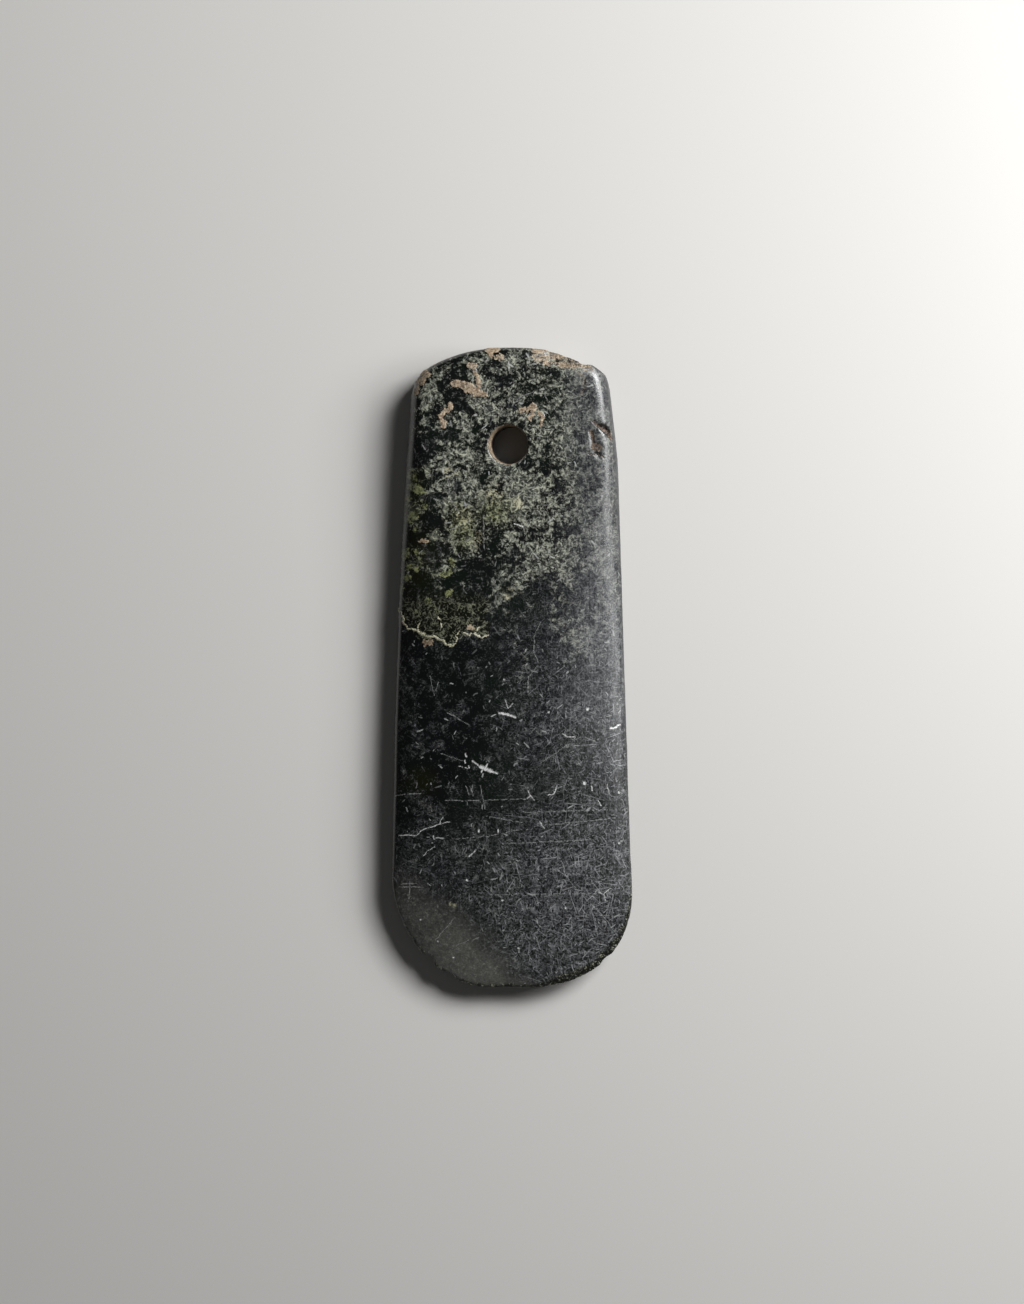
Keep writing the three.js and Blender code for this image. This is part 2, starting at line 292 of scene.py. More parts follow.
# Fine scratches, likewise.
SCRATCHES = [
    (0.24, [(-21.6, -2.0), (-20.6, -7.3)]),
    (0.20, [(-19.4, -3.6), (-20.4, -6.2)]),
    (0.22, [(7.6, 12.2), (5.9, 8.6), (5.8, 4.0), (7.0, 1.6)]),
    (0.20, [(6.8, 0.6), (4.4, -2.3), (4.2, -6.4)]),
    (0.20, [(-31.0, -33.9), (-28.0, -33.3), (-24.1, -33.2)]),
    (0.20, [(-17.6, -34.9), (-12.6, -35.0), (3.6, -34.5)]),
    (0.20, [(-6.9, -39.0), (2.8, -40.8)]),
    (0.18, [(-15.0, -45.2), (-6.0, -44.3), (2.8, -42.5)]),
    (0.22, [(-8.4, -31.0), (-7.1, -37.2)]),
    (0.24, [(-12.2, -31.2), (-11.4, -33.2)]),
    (0.20, [(-11.1, -31.2), (-10.2, -33.7)]),
    (0.20, [(-18.8, -22.6), (-13.1, -24.4)]),
    (0.20, [(-17.1, -11.6), (-11.3, -15.1)]),
    (0.20, [(-20.2, -72.0), (-15.1, -66.0)]),
    (0.20, [(-14.8, -73.5), (-11.3, -72.0)]),
    (0.22, [(-29.9, -58.0), (-24.1, -58.0)]),
    (0.18, [(-29.6, -57.2), (-25.1, -57.1)]),
    (0.22, [(-27.0, -56.3), (-27.3, -61.1)]),
    (0.18, [(-5.6, -59.8), (22.3, -59.6)]),
    (0.18, [(17.0, -65.6), (25.9, -65.5)]),
    (0.18, [(18.8, -60.2), (24.6, -66.2), (28.1, -70.9)]),
    (0.24, [(6.4, -66.2), (6.8, -67.8), (8.0, -68.8)]),
    (0.18, [(13.0, -50.9), (14.2, -54.6), (17.0, -58.5)]),
    (0.22, [(-7.4, 40.6), (-7.5, 36.4), (-7.3, 31.6)]),
    (0.20, [(-17.0, 50.4), (-16.4, 45.2), (-14.0, 41.0)]),
    (0.18, [(7.6, -25.0), (14.8, -20.2)]),
    (0.18, [(9.6, -41.4), (27.6, -39.6)]),
    (0.18, [(-2.6, -46.4), (22.4, -45.2)]),
    (0.18, [(2.2, -38.0), (25.4, -37.4)]),
    (0.26, [(0.0, 69.4), (2.6, 72.0), (5.6, 72.9), (8.7, 72.4), (9.5, 70.7)]),
    (0.26, [(-7.6, 69.8), (-6.8, 68.6), (-6.2, 68.2)]),
    (0.22, [(4.5, 83.6), (4.6, 79.8)]),
    (0.22, [(3.0, 79.2), (3.6, 76.9)]),
    (0.22, [(-11.0, 39.0), (-16.4, 36.6)]),
    (0.22, [(-20.8, 44.9), (-17.4, 43.2)]),
]
# Bright spots.
SPOTS = [
    (20.1, -10.7, 0.50, 0.50, 0),
    (19.2, -30.4, 0.55, 0.60, 0),
    (-8.7, -43.0, 0.35, 0.60, 0),
    (-3.6, -43.0, 0.30, 0.60, 0),
    (28.4, -32.8, 0.35, 0.35, 0),
    (-24.1, -66.6, 0.30, 0.30, 0),
    (-15.5, -76.6, 0.35, 0.30, 0),
    (-11.8, -56.1, 0.35, 0.35, 0),
    (-2.5, -61.4, 0.35, 0.35, 0),
    (1.8, -74.1, 0.35, 0.30, 0),
    (28.4, -46.3, 0.35, 0.35, 0),
    (-2.0, -3.0, 0.30, 0.30, 0),
    (9.7, -11.5, 0.30, 0.35, 0),
    (14.2, -63.4, 0.35, 0.35, 0),
    (-19.6, -72.4, 0.25, 0.25, 0),
]
# The pits below the crack, on the right.
PITS = [
    (20.9, 62.2, 0.9, 1.5, 0),
    (22.4, 58.6, 1.8, 1.5, -20),
    (21.4, 60.3, 0.7, 1.5, 0),
]
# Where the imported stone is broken, and the smoothing spares it: the butt's right end, its left
# corner, and the crack with its pits.
BREAKS = [
    (17.0, 81.5, 13.0, 5.5, -14),
    (-25.5, 76.0, 3.5, 5.5, 0),
    (23.6, 60.2, 5.0, 6.5, 0),
]
# The crack that runs in from the right side, and a shorter one below its pits.
CRACK_LINES = [
    (1.0, [(21.4, 65.2), (22.8, 64.1), (24.4, 63.2)]),
    (2.0, [(24.4, 63.2), (25.4, 62.4)]),
    (1.1, [(25.4, 62.4), (26.2, 60.8)]),
    (0.5, [(20.4, 56.4), (22.4, 56.9), (24.1, 55.6)]),
]
# A tan line of dirt beside the butt's broken end.
STAIN_LINES = [(0.7, [(15.6, 79.6), (17.8, 78.4), (19.2, 76.3), (19.5, 74.2), (18.4, 72.6)])]

# Strokes of the finish: the size of a cell, the length and width of a stroke, its seed, and for
# some the share of the cells that have one, and the way that they lean, in degrees.
FELT_STROKES = [
    (1.9, 3.4, 0.30, 1),
    (1.3, 2.2, 0.27, 2),
    (0.9, 1.5, 0.25, 3),
]
SHORT_WEAR = [
    (2.6, 4.4, 0.26, 11, 0.8),
    (1.6, 2.8, 0.24, 12, 0.9),
    (1.0, 1.7, 0.23, 16, 0.9),
]
LONG_WEAR = [
    (3.6, 8.0, 0.26, 13, 0.7),
    (5.0, 15.0, 0.26, 14, 0.65, 3),
    (5.0, 12.0, 0.26, 15, 0.6, 84),
]
NICKS = [
    (5.0, 2.6, 0.36, 21, 0.45),
    (3.1, 1.7, 0.32, 22, 0.40),
]

# Colours, as linear red, green and blue
BLACK_STONE = (0.0026, 0.0032, 0.0035)
GREEN_STONE = (0.0028, 0.0054, 0.0034)
OLIVE_STONE = (0.0072, 0.0080, 0.0016)
STONE_FLECKS = (0.085, 0.090, 0.086)
PATINA_DARK = (0.011, 0.013, 0.010)
PATINA_LIGHT = (0.490, 0.508, 0.405)
OLIVE_PATINA_DARK = (0.009, 0.012, 0.004)
OLIVE_PATINA_LIGHT = (0.385, 0.410, 0.230)
YELLOW_FLECKS = (0.540, 0.500, 0.330)
YELLOW_GREEN = (0.290, 0.310, 0.140)
LIGHT_STAIN = (0.50, 0.48, 0.33)
PAINTED_SHEEN_DARK = (0.022, 0.024, 0.027)
PAINTED_SHEEN_LIGHT = (0.150, 0.154, 0.162)
HAZE_AND_SHEEN_GREY = (0.190, 0.196, 0.208)
FINE_SCRATCH = (0.400, 0.410, 0.425)
NICK = (0.46, 0.47, 0.47)
DEEP_SCRATCH = (0.66, 0.67, 0.66)
CALM_DARK = (0.022, 0.022, 0.020)
CALM_LIGHT = (0.160, 0.162, 0.144)
CALM_DUST = (0.30, 0.30, 0.27)
FRESH_DARK = (0.0040, 0.0048, 0.0026)
FRESH_LIGHT = (0.330, 0.335, 0.240)
SKIN_DARK = (0.0036, 0.0042, 0.0022)
SKIN_LIGHT = (0.165, 0.172, 0.118)
CREAM_DARK = (0.22, 0.22, 0.12)
CREAM_LIGHT = (0.64, 0.62, 0.46)
EARTH_DARK = (0.070, 0.048, 0.030)
EARTH_LIGHT = (0.56, 0.47, 0.34)
EARTH_RED = (0.36, 0.23, 0.13)
CRUST_SHADOW = (0.010, 0.008, 0.006)
PIT_DARK = (0.012, 0.008, 0.006)
PIT_LIGHT = (0.20, 0.135, 0.09)
BORE_SHADOW = (0.020, 0.012, 0.009)
PALE_FLOOR = (0.66, 0.65, 0.63)
STUDIO_GREY = (0.03, 0.03, 0.03)
JADEITE_IOR = 1.62


# ---------------------------------------------------------------- modelling


def select_only(piece):
    bpy.ops.object.select_all(action="DESELECT")
    piece.select_set(True)
    bpy.context.view_layer.objects.active = piece


def apply_modifier(piece, kind, **settings):
    select_only(piece)
    modifier = piece.modifiers.new(kind.title(), kind)
    for setting, value in settings.items():
        setattr(modifier, setting, value)
    bpy.ops.object.modifier_apply(modifier=modifier.name)


def vectors(items, kind):
    """One vector for each item of a mesh, such as its points' places or its faces' middles."""
    flat = np.empty(3 * len(items), np.float32)
    items.foreach_get(kind, flat)
    return flat.reshape(-1, 3)


def points_of(piece):
    """The points of a piece, in millimetres."""
    return vectors(piece.data.vertices, "co").astype(float) / MM


def normals_of(piece):
    return vectors(piece.data.vertex_normals, "vector").astype(float)


def ease(values, low, high):
    """0 below low, 1 above high, and smooth between them."""
    share = np.clip((values - low) / (high - low), 0, 1)
    return share * share * (3 - 2 * share)


def noisy(points, size, seed=0.0):
    """A smooth random vector for each point, that changes over about one size."""
    shift = Vector((seed, 1.7 * seed, -seed))
    return np.array([noise.noise_vector(Vector(p) / size + shift) for p in points])


def patch(points, place, soft=0.4):
    """1 in the middle of an ellipse and 0 at its edge."""
    x, y, half_x, half_y, turn = place
    angle = math.radians(turn)
    away = points[:, :2] - (x, y)
    along = away @ (math.cos(angle), math.sin(angle)) / half_x
    across = away @ (-math.sin(angle), math.cos(angle)) / half_y
    return ease(1 - np.hypot(along, across), 0, soft)


def patches(points, places, soft=0.4):
    return np.max([patch(points, place, soft) for place in places], axis=0)


def reach(points, stops):
    """How far each point lies from a line through some stops, seen from above."""
    nearest = np.full(len(points), np.inf)
    for start, end in zip(stops, stops[1:]):
        start, run = np.array(start), np.subtract(end, start)
        away = points[:, :2] - start
        share = np.clip(away @ run / (run @ run), 0, 1)
        nearest = np.minimum(nearest, np.hypot(*(away - share[:, None] * run).T))
    return nearest


def stroke(points, width, stops):
    """1 along a line and 0 outside its width."""
    return ease(1 - reach(points, stops) / (width / 2), 0, 0.7)


def lines(points, places):
    return np.max([stroke(points, *place) for place in places], axis=0)


def group(piece, name, weights, least=0.003):
    """A vertex group that holds the points with more than the least weight."""
    made = piece.vertex_groups.new(name=name)
    for index in np.nonzero(weights > least)[0]:
        made.add([int(index)], float(weights[index]), "REPLACE")
    return made.name


def raise_where(piece, name, weights, height, grain=None, depth=2):
    """Moves the surface outwards by a height, or inwards if it is below 0, where weights are 1.
    With a grain, a cloud of that size breaks the height up, between nothing and all of it."""
    settings = {"strength": height * MM, "mid_level": 0.0, "vertex_group": group(piece, name, weights)}
    if grain:
        cloud = bpy.data.textures.new(name, "CLOUDS")
        cloud.noise_scale = grain * MM
        cloud.noise_depth = depth
        settings |= {"texture": cloud, "texture_coords": "LOCAL"}
    apply_modifier(piece, "DISPLACE", **settings)
    piece.vertex_groups.clear()


def select_faces(piece, chosen):
    """Selects the faces for which chosen, given their middles in millimetres, is true, and stays in
    edit mode."""
    centres = vectors(piece.data.polygons, "center") / MM
    select_only(piece)
    bpy.ops.object.mode_set(mode="EDIT")
    bpy.ops.mesh.select_mode(type="FACE")
    bpy.ops.mesh.select_all(action="DESELECT")
    bpy.ops.object.mode_set(mode="OBJECT")
    piece.data.polygons.foreach_set("select", chosen(centres))
    bpy.ops.object.mode_set(mode="EDIT")


def copy_stone():
    """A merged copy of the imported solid, evenly remeshed."""
    source = frame["nodes"]["axe_head"]
    stone = bpy.data.objects.new("jadeite_stone", source.data.copy())
    bpy.context.scene.collection.objects.link(stone)
    select_only(stone)
    bpy.ops.object.mode_set(mode="EDIT")
    bpy.ops.mesh.select_all(action="SELECT")
    bpy.ops.mesh.remove_doubles(threshold=MERGE * MM)
    bpy.ops.object.mode_set(mode="OBJECT")
    apply_modifier(stone, "REMESH", mode="VOXEL", voxel_size=GRAIN * MM)
    return stone


def smooth_flanks(stone):
    """Takes out the facets of the ground faces. The cutting edge, the bore and the breaks stay."""
    points = points_of(stone)
    from_middle = np.abs(points[:, 2] - MIDDLE[2])
    from_bore = np.hypot(*(points[:, :2] - BORE).T)
    blade = ease(-points[:, 1], *EDGE_SPARED)
    keep_edge = blade * (1 - ease(from_middle, *SPARED_EDGE_DEPTH))
    keep_bore = 1 - ease(from_bore, BORE_RADIUS + 1, BORE_RADIUS + 3)
    breaks = np.maximum(patches(points, BREAKS, soft=0.3), ease(points[:, 1], *BUTT_SPARED))
    free = np.clip(1 - keep_edge - 0.9 * keep_bore - 0.94 * breaks, 0, 1)
    free_points = group(stone, "free", free)
    apply_modifier(stone, "SMOOTH", factor=0.5, iterations=SMOOTHING, vertex_group=free_points)
    stone.vertex_groups.clear()


def refine_stone():
    """A fine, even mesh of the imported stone. It is finer along the single marks, the lines of crust
    and the crack, and coarser on the plain underside."""
    stone = copy_stone()
    smooth_flanks(stone)
    select_faces(stone, on_plain_underside)
    bpy.ops.mesh.decimate(ratio=UNDERSIDE_SHARE)
    bpy.ops.object.mode_set(mode="OBJECT")
    select_faces(stone, near_marks)
    bpy.ops.mesh.subdivide(number_cuts=MARK_CUTS)
    bpy.ops.object.mode_set(mode="OBJECT")
    return stone


def on_plain_underside(centres):
    low = centres[:, 2] < UNDERSIDE["top"]
    return low & (np.abs(centres[:, 1]) < UNDERSIDE["half_length"])


def near_marks(centres):
    """Whether a place on the stone lies on the upper side, on or beside a single line or spot."""
    near = np.zeros(len(centres), bool)
    for width, stops in GOUGES + SCRATCHES + CRUST_LINES + SKIN_RIM + CRACK_LINES:
        near |= reach(centres, stops) < width / 2 + MARK_MARGIN
    for x, y, half_x, half_y, _ in SPOTS:
        near |= reach(centres, [(x, y - DOT), (x, y)]) < max(half_x, half_y) + MARK_MARGIN
    return near & (centres[:, 2] > MIDDLE[2])


def upper(points):
    """1 on the upper face and down to the outline, 0 on the lower half."""
    return ease(points[:, 2], MIDDLE[2] - 1, MIDDLE[2] + 1)


def ragged(points, amount, size, seed):
    """The points, shifted at random, so that what is drawn by them gets a ragged edge."""
    return points + amount * noisy(points, size, seed)


def wild(points):
    """The points, shifted enough to give a small patch a broken outline."""
    shifted = ragged(points, amount=0.7, size=1.8, seed=3.0)
    return ragged(shifted, amount=0.35, size=0.7, seed=5.0)


def loose(points):
    """The points, shifted far enough for large patches to lose their shape."""
    shifted = ragged(points, amount=2.2, size=6.0, seed=11.0)
    return ragged(shifted, amount=0.9, size=2.0, seed=12.0)


def shaken(points):
    """The points, shifted a little, so that a line wavers."""
    return ragged(points, amount=0.45, size=0.9, seed=7.0)


def weather_stone(stone):
    """Gives the stone its uneven grinding, crust, scalloped skin, pits, scratches and chipped edge."""
    points = points_of(stone)
    top = upper(points)
    patched = wild(points)
    lined = shaken(points)

    off_floor = ease(points[:, 2], *GRINDING_SHOWS)
    raise_where(stone, "grinding", off_floor, GRINDING_RELIEF, grain=11, depth=1)

    crust = np.maximum(patches(patched, CRUST), lines(lined, CRUST_LINES))
    raise_where(stone, "crust", top * crust, CRUST_RELIEF, grain=0.9, depth=3)
    raise_where(stone, "skin", top * patches(patched, SKIN_LOBES, soft=0.12), SKIN_RELIEF)
    raise_where(stone, "skin_rim", top * lines(lined, SKIN_RIM), SKIN_RIM_RELIEF)
    scar = patches(patched, SCAR, soft=0.3)
    raise_where(stone, "scar", top * scar, SCAR_RELIEF, grain=0.7, depth=2)
    pits = np.maximum(patches(patched, PITS, soft=0.6), lines(lined, CRACK_LINES))
    raise_where(stone, "pits", top * pits, PIT_RELIEF, grain=0.8)
    raise_where(stone, "marks", top * mark_strength(points), MARK_RELIEF)

    points = points_of(stone)
    from_middle = np.abs(points[:, 2] - MIDDLE[2])
    blade = ease(-points[:, 1], *EDGE_CHIPPED)
    edge = blade * (1 - ease(from_middle, *CHIPPED_EDGE_DEPTH))
    raise_where(stone, "edge", edge, CUTTING_EDGE_RELIEF, grain=0.9, depth=1)


def mark_strength(points):
    """How deep each point lies in a single scratch, gouge or spot."""
    wavering = ragged(points, amount=0.22, size=0.9, seed=9.0)
    scratches = SCRATCH_STRENGTH * lines(wavering, SCRATCHES)
    spots = patches(wavering, SPOTS, soft=0.5)
    return np.max([lines(wavering, GOUGES), scratches, spots], axis=0)


def paint(stone, name, values):
    layer = stone.data.attributes.new(name, "FLOAT", "POINT")
    layer.data.foreach_set("value", np.clip(values, 0, 1).astype(np.float32))


def paint_patches(stone, points, top):
    """Paints the patches, lines and single marks of the upper face, each where its table says."""
    patched = wild(points)
    broad = loose(points)
    lined = shaken(points)
    bent = ragged(points, amount=0.5, size=1.2, seed=4.0)
    crust = np.maximum(patches(patched, CRUST, soft=0.35), lines(lined, CRUST_LINES))
    pits = np.maximum(patches(patched, PITS, soft=0.6), lines(lined, CRACK_LINES))
    skin = patches(patched, SKIN_LOBES, soft=0.10) * ease(-points[:, 1], *SKIN_FADES)
    painted = {
        "crust": crust,
        "scar": patches(patched, SCAR, soft=0.35),
        "light_stain": patches(patched, LIGHT_STAINS, soft=0.7),
        "black": patches(broad, BLACK_PATCHES, soft=0.9),
        "pale": patches(broad, PALE_PATCHES, soft=0.9),
        "olive": patches(broad, OLIVE_PATCHES, soft=0.9),
        "green": patches(patched, GREEN_PATCHES, soft=0.6),
        "yellow": patches(broad, YELLOW_PATCHES, soft=0.9),
        "skin": skin,
        "skin_rim": lines(lined, SKIN_RIM),
        "skin_stain": patches(patched, SKIN_STAINS, soft=0.5),
        "mark": mark_strength(points),
        "stain_line": lines(bent, STAIN_LINES),
        "pit": pits,
    }
    for name, values in painted.items():
        paint(stone, name, top * values)


def paint_wear(stone, points, top):
    """Paints the weathering, and the polished side's painted sheen, which change slowly from end to
    end.
    """
    x, y, _ = points.T
    broad = loose(points)
    # Weathering covers the butt's third and fades out below it, further down on the right.
    weathered = ease(broad[:, 1] + 0.45 * x, *WEATHERING)
    paint(stone, "weathered", weathered * (1 - 0.10 * ease(y, *WEATHERING_THINS)))
    # The polished right side, where a grey is painted on as sheen that stands in for the highlight
    # along it.
    paint(stone, "polished", top * ease(broad[:, 0], *POLISH_AND_SHEEN_SPREADS) * ease(y, *POLISH_AND_SHEEN_RISES))
    # At the left of the cutting edge the stone is polished smooth, with hardly a scratch.
    soft = ragged(points, amount=2.5, size=6.0, seed=21.0)
    past = (CALM_END[0] - soft[:, 0]) * CALM_ACROSS[0] + (CALM_END[1] - soft[:, 1]) * CALM_ACROSS[1]
    calm = ease(past, *CALM_FADES) * ease(-soft[:, 1], *CALM_BEGINS)
    paint(stone, "calm", top * calm)
    # Painted light: the smooth part grows lighter towards the thin cutting edge and towards the
    # middle.
    painted_light_near_edge = ease(soft[:, 0], *CALM_LIGHTENS_ACROSS) * ease(-soft[:, 1], *CALM_LIGHTENS)
    paint(stone, "calm_painted_light", painted_light_near_edge)
    # Haze of wear, with painted sheen, rises to the right, and haze of wear covers all of the lower
    # part.
    haze_and_sheen_rising = ease(broad[:, 0], *HAZE_AND_SHEEN_SPREADS) * ease(-y, *HAZE_AND_SHEEN_RISES)
    lower = ease(-broad[:, 1] + 0.35 * broad[:, 0], *HAZE_FULL)
    lower *= 0.42 + 0.58 * ease(broad[:, 0], *HAZE_THICKENS)
    paint(stone, "haze_and_sheen", np.maximum(0.75 * haze_and_sheen_rising, lower))


def paint_bore(stone, points, steep):
    """Paints the bore's wall: dirt near its mouth, and shadow below."""
    from_bore = np.hypot(*(points[:, :2] - BORE).T)
    in_bore = steep * (1 - ease(from_bore, BORE_RADIUS + 0.3, BORE_RADIUS + 1.0))
    deep = 1 - ease(wild(points)[:, 2], MIDDLE[2] + 0.5, MIDDLE[2] + 2.5)
    paint(stone, "bore", in_bore * (1 - deep))
    paint(stone, "bore_dark", in_bore * deep)


def paint_edges(stone, points):
    """Paints the chipped band of the cutting edge and the dirty rim of the butt."""
    x, y, z = points.T
    from_middle = np.abs(z - MIDDLE[2])
    # The chipped band is narrow, and wider on the right.
    band = 0.2 + 0.4 * ease(x, *CHIPS_WIDEN)
    blade = ease(-y, *EDGE_CHIPS_PAINTED)
    paint(stone, "chipped", blade * (1 - ease(from_middle - band, 0, 0.5)))
    rim = 1 - ease(from_middle, *DIRTY_RIM_DEPTH)
    paint(stone, "butt_rim", ease(y, *BUTT_DIRTY) * rim)


def paint_stone(stone):
    """Stores, for each point of the mesh, how much of each colour and wear it has."""
    points = points_of(stone)
    rise = np.abs(normals_of(stone)[:, 2])  # 1 on level ground, 0 on a wall
    top = upper(points)
    paint(stone, "upper", top)
    # The flanks are too steep for the strokes of the finish, which run level.
    paint(stone, "level", ease(rise, *STROKES_SHOW))
    paint_patches(stone, points, top)
    paint_wear(stone, points, top)
    paint_bore(stone, points, 1 - ease(rise, *WALL_ENDS))
    paint_edges(stone, points)


# ---------------------------------------------------------------- finishes

ALL = "all"  # asks for every output of a node, by name

# How far each seed moves the place that a pattern is drawn by, so that no two are alike
NOISE_STEP = (13.7, 5.3, 9.1)
STROKE_STEP = (7.31, 3.77, 0.0)
LEAN_SPREAD = 0.7  # between the strokes of one lean that differ most, in radians


class Signal:
    """An output socket. Arithmetic on signals and numbers adds Math nodes."""

    def __init__(self, finish, socket):
        self.finish = finish
        self.socket = socket

    def __add__(self, other):
        return self.finish.math("ADD", self, other)

    def __sub__(self, other):
        return self.finish.math("SUBTRACT", self, other)

    def __rsub__(self, other):
        return self.finish.math("SUBTRACT", other, self)

    def __mul__(self, other):
        return self.finish.math("MULTIPLY", self, other)

    def __truediv__(self, other):
        return self.finish.math("DIVIDE", self, other)

    __radd__ = __add__
    __rmul__ = __mul__


class Finish:
    """A material that is built up node by node on a Principled shader."""

    def __init__(self, name):
        self.material = bpy.data.materials.new(name)
        self.material.use_nodes = True
        self.nodes = self.material.node_tree.nodes
        self.links = self.material.node_tree.links
        self.shader = self.nodes["Principled BSDF"]
        self.layers = {}

    def feed(self, socket, value):
        if isinstance(value, Signal):
            self.links.new(value.socket, socket)
        else:
            socket.default_value = value

    def add(self, kind, settings=None, inputs=None, output=0):
        """Adds a node: its settings first, then the values or links of its sockets."""
        node = self.nodes.new(kind)
        for setting, value in (settings or {}).items():
            setattr(node, setting, value)
        for name, value in (inputs or {}).items():
            self.feed(node.inputs[name], value)
        if output is ALL:
            return {socket.name: Signal(self, socket) for socket in node.outputs}
        return Signal(self, node.outputs[output])

    def math(self, operation, *values):
        return self.add("ShaderNodeMath", {"operation": operation}, dict(enumerate(values)))

    def clamp(self, value):
        return self.add("ShaderNodeClamp", None, {"Value": value})

    def ramp(self, value, low, high):
        """0 where value is below low, 1 above high, and smooth between them."""
        settings = {"interpolation_type": "SMOOTHSTEP"}
        inputs = {"Value": value, "From Min": low, "From Max": high}
        return self.add("ShaderNodeMapRange", settings, inputs)

    def most(self, *values):
        most = values[0]
        for value in values[1:]:
            most = self.math("MAXIMUM", most, value)
        return most

    def painted(self, name):
        """What is painted on the mesh under a name."""
        if name not in self.layers:
            self.layers[name] = self.add("ShaderNodeAttribute", {"attribute_name": name}, output="Fac")
        return self.layers[name]

    def mix(self, share, first, second):
        """One colour turning into another as share goes from 0 to 1."""
        settings = {"data_type": "RGBA"}
        inputs = {0: share, 6: rgba(first), 7: rgba(second)}
        return self.add("ShaderNodeMix", settings, inputs, output=2)

    def shift(self, vector, offset):
        return self.add("ShaderNodeVectorMath", {"operation": "ADD"}, {0: vector, 1: offset})

    def scale(self, vector, scales):
        """A vector with its three parts multiplied by three numbers."""
        settings = {"vector_type": "POINT"}
        return self.add("ShaderNodeMapping", settings, {"Vector": vector, "Scale": scales})

    def noise(self, place, scale, detail=2.0, roughness=0.5, seed=0.0, distortion=0.0):
        inputs = {
            "Vector": self.shift(place, tuple(seed * step for step in NOISE_STEP)),
            "Scale": scale,
            "Detail": detail,
            "Roughness": roughness,
            "Distortion": distortion,
        }
        return self.add("ShaderNodeTexNoise", None, inputs)


def rgba(colour):
    return colour if isinstance(colour, Signal) else (*colour, 1.0)


def strokes(finish, place, cell, length, width, seed, share=1.0, lean=None):
    """Short straight strokes, one to a cell, each at its own angle and of its own strength, from 0
    off them up to 1 on them. A share of the cells is used. With a lean, in degrees, all of them lie
    within 20 degrees of it."""
    shifted = finish.shift(place, tuple(seed * step for step in STROKE_STEP))
    cells = finish.add(
        "ShaderNodeTexVoronoi",
        {"voronoi_dimensions": "2D"},
        {"Vector": shifted, "Scale": 1 / cell},
        ALL,
    )
    chance = finish.add("ShaderNodeSeparateColor", None, {0: cells["Color"]}, ALL)
    subtract = {"operation": "SUBTRACT"}
    away = finish.add("ShaderNodeVectorMath", subtract, {0: shifted, 1: cells["Position"]})
    angle = chance["Red"] * math.tau
    if lean is not None:
        angle = (chance["Red"] - 0.5) * LEAN_SPREAD + math.radians(lean)
    about_z = {"rotation_type": "Z_AXIS"}
    turned = finish.add("ShaderNodeVectorRotate", about_z, {"Vector": away, "Angle": angle})
    parts = finish.add("ShaderNodeSeparateXYZ", None, {0: turned}, ALL)
    reach_along = (chance["Green"] * 0.7 + 0.3) * (length / 2)
    along = finish.ramp(finish.math("ABSOLUTE", parts["X"]) / reach_along, 1.0, 0.5)
    across = finish.ramp(finish.math("ABSOLUTE", parts["Y"]), width * 0.62, width * 0.25)
    strength = finish.clamp((chance["Blue"] - (1 - share)) / share)
    return along * across * strength * (0.3 + strength * 0.7)


def all_strokes(finish, place, kinds):
    return [strokes(finish, place, *kind) for kind in kinds]


def tangle(finish, place, size, width, seed):
    """Thin curved lines that wander and cross, as wide as stated, 1 on them and 0 off them."""
    look = {"detail": 1, "roughness": 0.5, "seed": seed, "distortion": 0.6}
    wander = finish.noise(place, 1 / size, **look)
    off_line = finish.math("ABSOLUTE", wander - 0.5)
    return finish.ramp(off_line, 0.55 * width / size, 0.12 * width / size)


def make_patterns(finish):
    """The patterns that the finish is made of, each spread out over 0 to 1, and the places, in
    millimetres, that they are laid out by: one straight, the other bent."""
    seen = finish.add("ShaderNodeTexCoord", None, None, "Object")
    place = finish.scale(seen, (1 / MM,) * 3)
    waves = {"Vector": place, "Scale": 0.35, "Detail": 2.0}
    bend = finish.add("ShaderNodeTexNoise", None, waves, "Color")
    bend = finish.add("ShaderNodeVectorMath", {"operation": "SCALE"}, {0: bend, "Scale": 1.6})
    bent = finish.shift(place, bend)

    def pattern(low, high, where=place, **look):
        return finish.ramp(finish.noise(where, **look), low, high)

    fleck = pattern(0.31, 0.69, scale=1.0, detail=4, roughness=0.72, seed=3, distortion=0.4)
    felt = finish.most(
        *all_strokes(finish, bent, FELT_STROKES),
        tangle(finish, place, size=1.5, width=0.26, seed=5) * (fleck * 0.6),
    )
    down = finish.scale(place, (2.2, 0.10, 1.0))
    over = finish.scale(place, (0.08, 2.2, 1.0))
    return SimpleNamespace(
        place=place,
        bent=bent,
        broad=pattern(0.40, 0.62, scale=0.055, detail=3, roughness=0.6, seed=1),
        blotch=pattern(0.33, 0.67, scale=0.12, detail=5, roughness=0.68, seed=2, distortion=0.4),
        mottle=pattern(0.33, 0.67, scale=0.40, detail=4, roughness=0.70, seed=8, distortion=0.5),
        fleck=fleck,
        dust=pattern(0.34, 0.66, scale=2.3, detail=2, roughness=0.60, seed=4),
        felt=felt * finish.painted("level"),
        striae_down=pattern(0.35, 0.65, down, scale=1.0, detail=2, roughness=0.6, seed=31),
        striae_over=pattern(0.35, 0.65, over, scale=1.0, detail=2, roughness=0.6, seed=32),
    )


def bare_stone(finish, grain):
    """Black stone, greener in broad places and olive in others, with grey flecks."""
    green = finish.mix(grain.broad, BLACK_STONE, GREEN_STONE)
    deep = finish.mix(finish.painted("olive") * 0.8, green, OLIVE_STONE)
    flecks = grain.fleck * 0.7 + grain.dust * 0.7 + grain.mottle * 0.4
    flecks = finish.clamp((flecks + finish.painted("weathered") * 0.14 - 1.18) * 1.6)
    return finish.mix(flecks * 0.75, deep, STONE_FLECKS)


